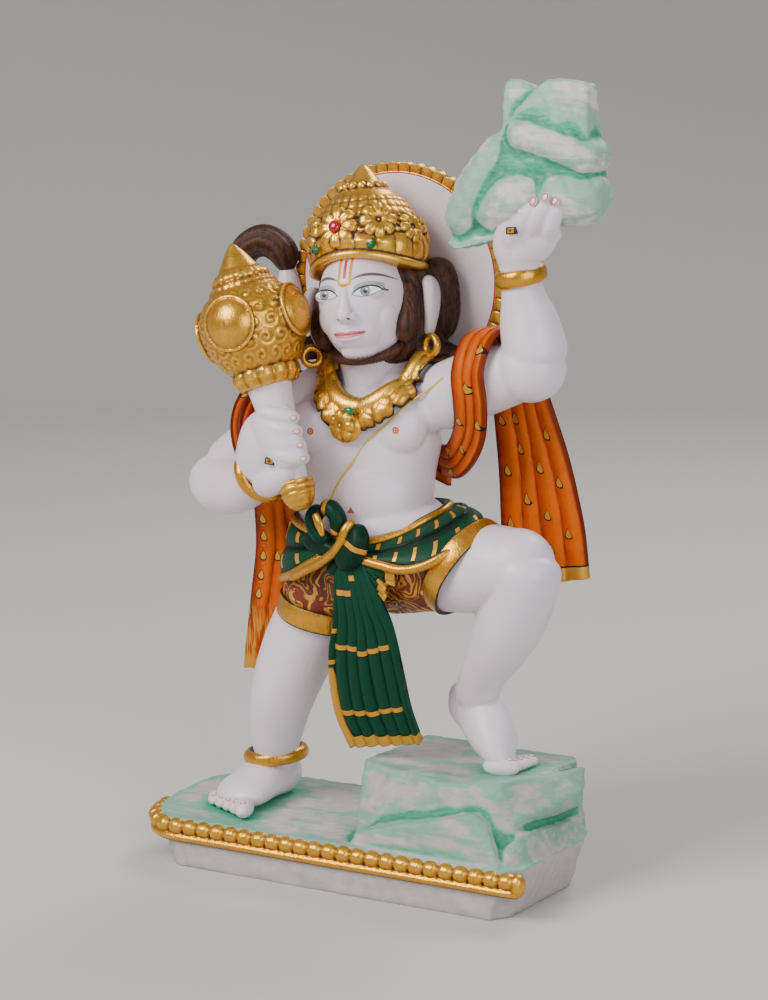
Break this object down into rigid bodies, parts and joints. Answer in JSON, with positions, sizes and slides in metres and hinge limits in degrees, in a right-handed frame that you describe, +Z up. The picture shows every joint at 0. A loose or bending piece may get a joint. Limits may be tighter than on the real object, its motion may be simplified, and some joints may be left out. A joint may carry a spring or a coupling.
{
  "type": "painted marble figure of hanuman",
  "caption": "Painted and gilt marble temple figure lunging onto a rock, with a mace in one fist and a mountain raised on the other hand, on a low plinth.",
  "frame": {"origin": "centre of the plinth's underside, on the surface that the figure stands on", "axes": "+Z up, the front faces -Y, and +X is the figure's left, the viewer's right"},
  "size_m": [0.3605, 0.168, 0.592],
  "materials": {
    "painted_marble": "satin"
  },
  "bodies": {
    "root": {"hanuman_statue": "painted_marble"}
  },
  "joints": []
}
